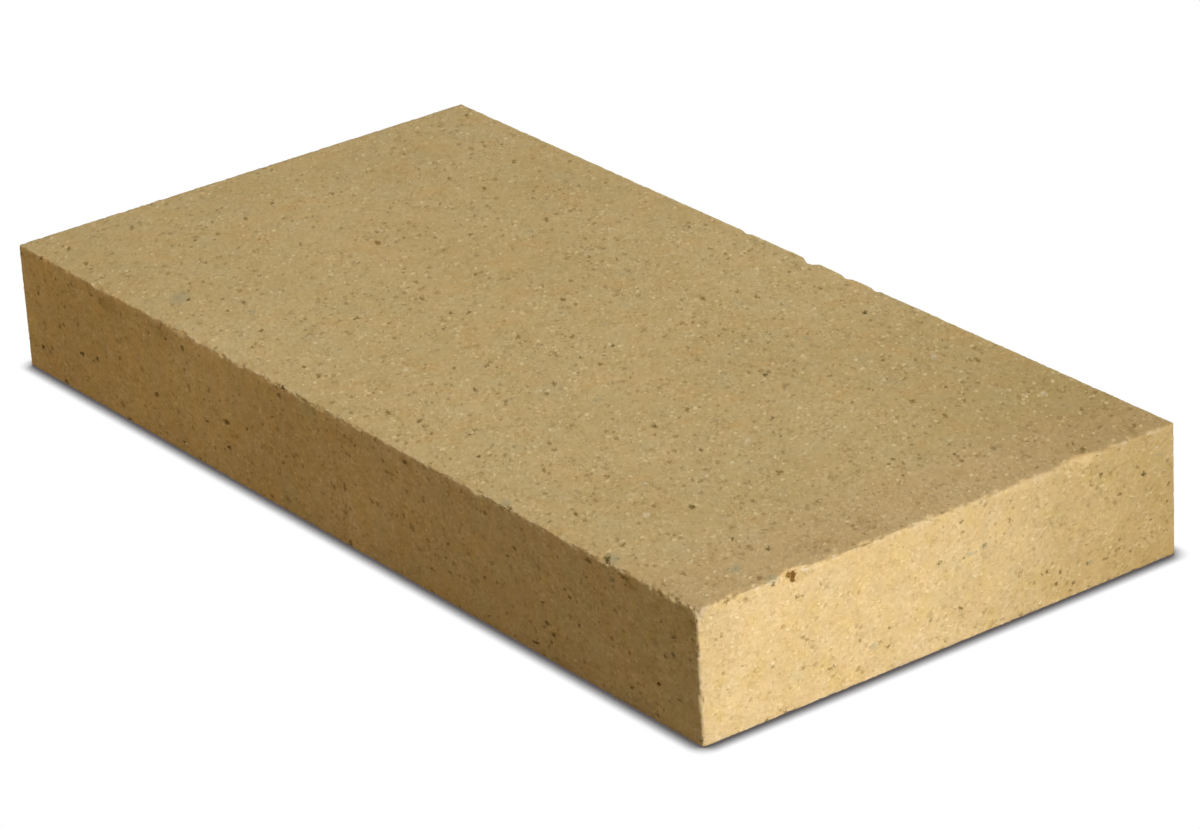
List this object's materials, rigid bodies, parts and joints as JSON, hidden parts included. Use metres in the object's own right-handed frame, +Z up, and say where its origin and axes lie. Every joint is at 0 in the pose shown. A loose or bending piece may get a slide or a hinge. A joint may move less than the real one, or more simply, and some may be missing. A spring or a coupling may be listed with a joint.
{
  "type": "refractory firebrick",
  "caption": "Thin rectangular fireclay brick with softened edges, a knocked corner and small edge chips, for lining hearths, stoves and kilns.",
  "frame": {"origin": "centre of the lower bed face", "axes": "+X along the length towards the knocked corner, +Y across the width, +Z up through the thickness"},
  "size_m": [0.25, 0.124, 0.03],
  "materials": {
    "fireclay": "matt buff fired clay with pale grog grains and dark iron specks"
  },
  "bodies": {
    "root": {"firebrick": "fireclay"}
  },
  "joints": []
}
